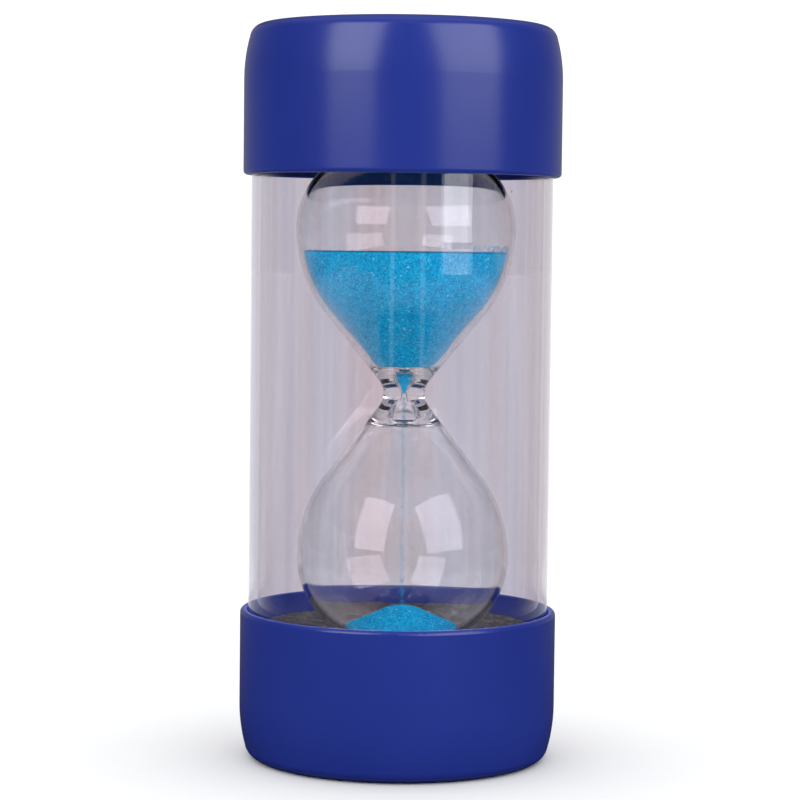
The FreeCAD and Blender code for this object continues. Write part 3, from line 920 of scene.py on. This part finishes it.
def add_sand():
    """Both heaps and the stream between them."""
    chance = random.Random(4)
    material = sand_material()
    upper = upper_sand_shape(chance)
    add_stuck_grains(upper, chance)
    add_piece("sand_above", "upper_sand", upper, material)
    add_piece("sand_below", "lower_sand", lower_sand_shape(chance), material)
    add_piece("sand_falling", "sand_stream", stream_shape(chance), material)


# ---------------------------------------------------------------- foam

FOAM_GAP = 0.1 * MM
FOAM_HOLE_RADIUS = 9.5 * MM
PAD_RUN = 0.7 * MM
RING_RUN = 0.45 * MM


def crumbed(place):
    """Dents between the crumbs of pressed foam; they only go in from the cut faces."""
    dent_width = 0.35
    dent_depth = 0.25 * MM
    pore_depth = 0.12 * MM
    distances, _ = noise.voronoi(place * 700.0)
    dent = -dent_depth * max(0.0, dent_width - (distances[1] - distances[0])) / dent_width
    pore = -pore_depth * (1 + noise.noise(place * 1500.0)) / 2
    return dent + pore


def foam_shift(low, high, radius):
    """Shift for a foam piece: its top and bottom faces sink, and its side shrinks."""
    edge = 0.05 * MM

    def shift(place):
        depth = crumbed(place)
        move = Vector((0, 0, 0))
        if place.z > high - edge:
            move.z += depth
        if place.z < low + edge:
            move.z -= depth
        if math.hypot(place.x, place.y) > radius - edge:
            move += outwards(place) * depth
        return move
    return shift


def add_foam_pad(node, name, material):
    """Round foam pad between a foam ring and the end of a cap."""
    low, high, radius = node_bottom(node), node_top(node), node_radius(node)
    outline = spread([(0, low), (radius, low), (radius, high), (0, high)], PAD_RUN)
    shape = turned(outline, shift=foam_shift(low, high, radius))
    add_piece(name, node, shape, material)


def add_foam_ring(node, name, side, material):
    """Foam ring that cradles the end of one bulb in a dished hole."""
    low, high, radius = node_bottom(node), node_top(node), node_radius(node)
    dish = [point for point in bulb_outline(side, -FOAM_GAP, FOAM_HOLE_RADIUS)
            if low <= point[1] <= high]
    end = low if side < 0 else high
    open_face = high if side < 0 else low
    lip = (dish[-1][0] + abs(open_face - dish[-1][1]), open_face)
    outline = [(FOAM_HOLE_RADIUS, end)] + dish + [lip, (radius, open_face), (radius, end)]
    outline = spread(outline + outline[:1], RING_RUN)[:-1]
    if side < 0:
        outline.reverse()
    crumbs = foam_shift(low, high, radius)

    def shift(place):
        inwards = (radius - math.hypot(place.x, place.y)) / (radius - FOAM_HOLE_RADIUS)
        return crumbs(place) + Vector((VIAL_AXIS * inwards, 0, 0))

    shape = turned(outline, closed=True, shift=shift)
    add_piece(name, node, shape, material)


def add_foam():
    """Two pads and two rings."""
    material = foam_material()
    add_foam_pad("foam_pad_bottom", "crumb_pad_bottom", material)
    add_foam_pad("foam_pad_top", "crumb_pad_top", material)
    add_foam_ring("foam_ring_bottom", "crumb_ring_bottom", -1, material)
    add_foam_ring("foam_ring_top", "crumb_ring_top", 1, material)


# ---------------------------------------------------------------- tube, plug, caps and glue

TUBE_WALL = 2.0 * MM
TUBE_EASE = 0.25 * MM
TUBE_RUN = 8 * MM
PLUG_STEPS = 96
PLUG_RUN = 0.6 * MM


def drawn(place):
    """Lengthwise lines left on the tube by its making."""
    line_depth = 0.006 * MM
    lines_around = 38.0
    angle = math.atan2(place.y, place.x)
    around = Vector((math.cos(angle), math.sin(angle), 0))
    return around * (line_depth * noise.noise(around * lines_around))


def add_tube():
    """Clear tube with slightly eased ends; returns it."""
    low, high, outer = (f("clear_tube") for f in (node_bottom, node_top, node_radius))
    inner = outer - TUBE_WALL
    eased = outer - TUBE_EASE
    outline = [
        (eased, low), (outer, low + TUBE_EASE), (outer, high - TUBE_EASE), (eased, high),
        (inner, high), (inner, low)]
    outline = spread(outline + outline[:1], TUBE_RUN)[:-1]
    shape = turned(outline, closed=True, shift=drawn)
    return add_piece("drawn_tube", "clear_tube", shape, tube_material())


def add_plug():
    """Stopper in the fill hole, with a domed head."""
    low, high, head = (f("fill_plug") for f in (node_bottom, node_top, node_radius))
    tip, shank, brim = 3.5 * MM, 3.85 * MM, 1.6 * MM
    round_off = 0.5 * MM
    outline = [(0, low), (tip - round_off, low)]
    outline += arc_points((tip - round_off, low + round_off), round_off, -90, 0, steps=6)
    outline += [(shank, high - brim), (head - round_off, high - brim)]
    outline += arc_points((head - round_off, high - brim / 2), brim / 2, -90, 90, steps=12)
    outline += [(0, high)]
    shape = turned(spread(outline, PLUG_RUN), VIAL_AXIS, steps=PLUG_STEPS)
    add_piece("stopper", "fill_plug", shape, plug_material())


def paint(node, material):
    """CAD node shown as it is, in one material."""
    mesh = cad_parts[node].data
    mesh.materials.clear()
    mesh.materials.append(material)


def finish_caps():
    """Caps and glue rings keep their CAD shapes."""
    cap = cap_material()
    glue = glue_material()
    for node in ("bottom_cap", "top_cap"):
        paint(node, cap)
    for node in ("glue_ring_bottom", "glue_ring_top"):
        paint(node, glue)


# ---------------------------------------------------------------- put together

def set_light_paths():
    """Enough bounces for glass in a tube, and colours shown as they are lit."""
    scene = bpy.context.scene
    scene.view_settings.view_transform = "Standard"
    scene.cycles.max_bounces = 28
    scene.cycles.transmission_bounces = 20
    scene.cycles.glossy_bounces = 24
    scene.cycles.transparent_max_bounces = 32


add_camera()
add_world()
set_light_paths()
add_softboxes(add_floor(), add_tube())
finish_caps()
add_vial()
add_plug()
add_foam()
add_sand()
